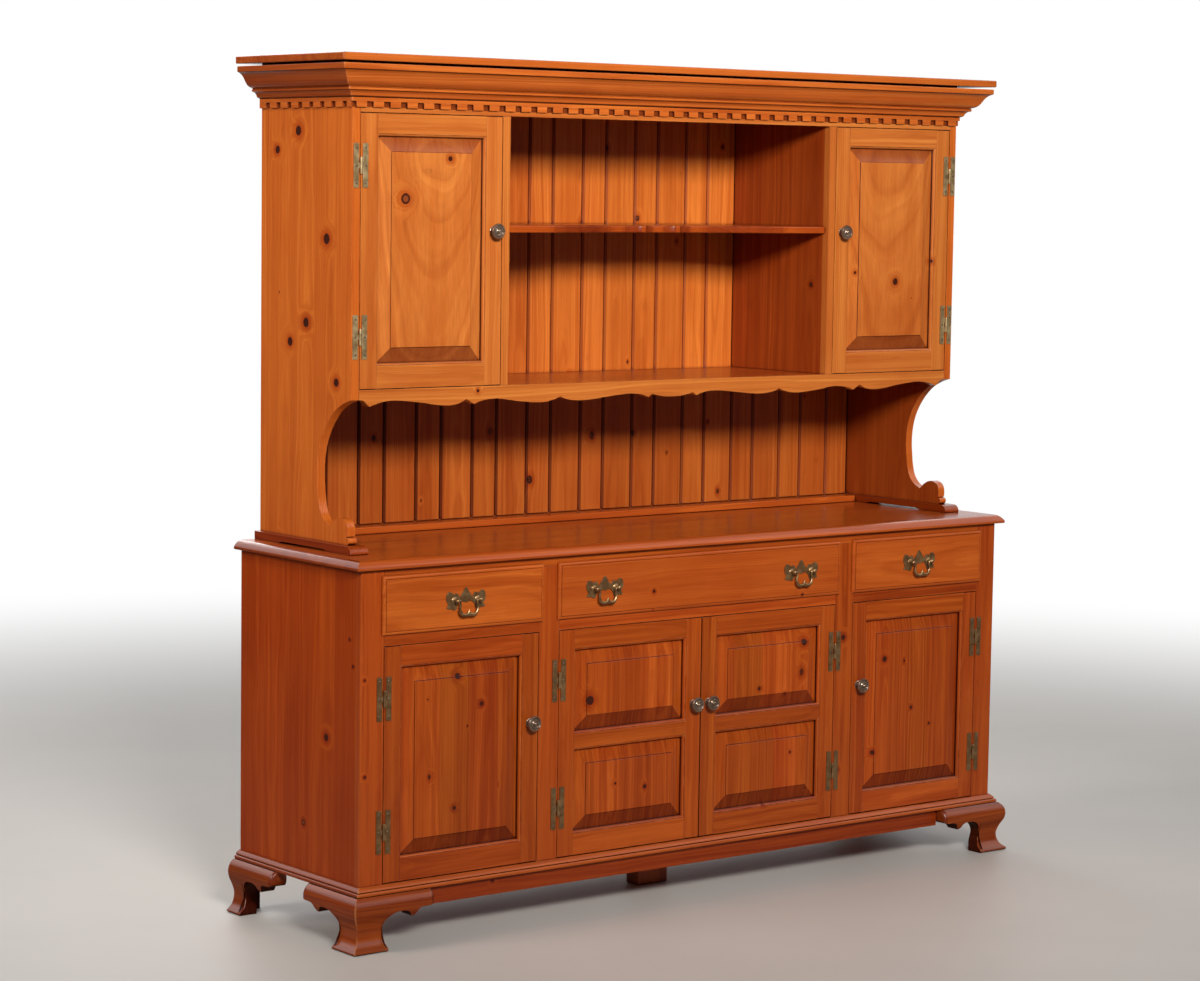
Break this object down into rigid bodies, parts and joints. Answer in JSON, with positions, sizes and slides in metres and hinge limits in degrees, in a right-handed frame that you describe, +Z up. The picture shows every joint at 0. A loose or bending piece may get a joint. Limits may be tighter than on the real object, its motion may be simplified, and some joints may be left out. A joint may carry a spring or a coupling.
{
  "type": "step back cupboard",
  "caption": "Step back cupboard with doors and shaped shelf above an open serving space, drawers over panelled doors and ogee bracket feet.",
  "frame": {"origin": "on the floor, under the middle of the overall box", "axes": "+Z up, +X along the width to the right as seen from the front, the front faces -Y"},
  "size_m": [1.898, 0.501, 1.854],
  "materials": {
    "pine": "satin",
    "brass": "aged satin"
  },
  "bodies": {
    "case": {"top_board": "pine", "cornice": "pine", "upper_left_side": "pine", "upper_right_side": "pine", "upper_face_frame": "pine", "upper_deck": "pine", "upper_left_partition": "pine", "upper_right_partition": "pine", "centre_shelf": "pine", "back_boards": "pine", "left_shoe": "pine", "right_shoe": "pine", "base_top": "pine", "base_left_side": "pine", "base_right_side": "pine", "base_face_frame": "pine", "base_left_partition": "pine", "base_right_partition": "pine", "base_bottom": "pine", "base_back": "pine", "base_moulding": "pine", "front_left_foot": "pine", "front_right_foot": "pine", "rear_left_foot": "pine", "rear_right_foot": "pine", "upper_left_lower_hinge": "brass", "upper_left_upper_hinge": "brass", "upper_right_lower_hinge": "brass", "upper_right_upper_hinge": "brass", "base_left_lower_hinge": "brass", "base_left_upper_hinge": "brass", "centre_left_lower_hinge": "brass", "centre_left_upper_hinge": "brass", "centre_right_lower_hinge": "brass", "centre_right_upper_hinge": "brass", "base_right_lower_hinge": "brass", "base_right_upper_hinge": "brass"},
    "upper_left_door": {"upper_left_door": "pine", "upper_left_knob": "brass"},
    "upper_right_door": {"upper_right_door": "pine", "upper_right_knob": "brass"},
    "base_left_door": {"base_left_door": "pine", "base_left_knob": "brass"},
    "centre_left_door": {"centre_left_door": "pine", "centre_left_knob": "brass"},
    "centre_right_door": {"centre_right_door": "pine", "centre_right_knob": "brass"},
    "base_right_door": {"base_right_door": "pine", "base_right_knob": "brass"},
    "left_drawer": {"left_drawer": "pine", "left_drawer_pull_plate": "brass"},
    "centre_drawer": {"centre_drawer": "pine", "centre_drawer_left_pull_plate": "brass", "centre_drawer_right_pull_plate": "brass"},
    "right_drawer": {"right_drawer": "pine", "right_drawer_pull_plate": "brass"},
    "left_drawer_bail": {"left_drawer_bail": "brass"},
    "centre_drawer_left_bail": {"centre_drawer_left_bail": "brass"},
    "centre_drawer_right_bail": {"centre_drawer_right_bail": "brass"},
    "right_drawer_bail": {"right_drawer_bail": "brass"}
  },
  "joints": [
    {"name": "upper_left_door_hinge", "type": "hinge", "parent": "case", "child": "upper_left_door", "pos_m": [-0.84625, -0.1037, 1.447], "axis": [0, 0, -1], "range_deg": [0, 110]},
    {"name": "upper_right_door_hinge", "type": "hinge", "parent": "case", "child": "upper_right_door", "pos_m": [0.84625, -0.1037, 1.447], "axis": [0, 0, 1], "range_deg": [0, 110]},
    {"name": "base_left_door_hinge", "type": "hinge", "parent": "case", "child": "base_left_door", "pos_m": [-0.85725, -0.2197, 0.385], "axis": [0, 0, -1], "range_deg": [0, 110]},
    {"name": "centre_left_door_hinge", "type": "hinge", "parent": "case", "child": "centre_left_door", "pos_m": [-0.40125, -0.2197, 0.385], "axis": [0, 0, -1], "range_deg": [0, 110]},
    {"name": "centre_right_door_hinge", "type": "hinge", "parent": "case", "child": "centre_right_door", "pos_m": [0.40125, -0.2197, 0.385], "axis": [0, 0, 1], "range_deg": [0, 110]},
    {"name": "base_right_door_hinge", "type": "hinge", "parent": "case", "child": "base_right_door", "pos_m": [0.85725, -0.2197, 0.385], "axis": [0, 0, 1], "range_deg": [0, 110]},
    {"name": "left_drawer_slide", "type": "slide", "parent": "case", "child": "left_drawer", "axis": [0, -1, 0], "range_m": [0, 0.3]},
    {"name": "centre_drawer_slide", "type": "slide", "parent": "case", "child": "centre_drawer", "axis": [0, -1, 0], "range_m": [0, 0.3]},
    {"name": "right_drawer_slide", "type": "slide", "parent": "case", "child": "right_drawer", "axis": [0, -1, 0], "range_m": [0, 0.3]},
    {"name": "left_drawer_bail_swing", "type": "hinge", "parent": "left_drawer", "child": "left_drawer_bail", "pos_m": [-0.657, -0.2378, 0.72], "axis": [-1, 0, 0], "range_deg": [0, 85]},
    {"name": "centre_drawer_left_bail_swing", "type": "hinge", "parent": "centre_drawer", "child": "centre_drawer_left_bail", "pos_m": [-0.28542, -0.2378, 0.72], "axis": [-1, 0, 0], "range_deg": [0, 85]},
    {"name": "centre_drawer_right_bail_swing", "type": "hinge", "parent": "centre_drawer", "child": "centre_drawer_right_bail", "pos_m": [0.28542, -0.2378, 0.72], "axis": [-1, 0, 0], "range_deg": [0, 85]},
    {"name": "right_drawer_bail_swing", "type": "hinge", "parent": "right_drawer", "child": "right_drawer_bail", "pos_m": [0.657, -0.2378, 0.72], "axis": [-1, 0, 0], "range_deg": [0, 85]}
  ]
}
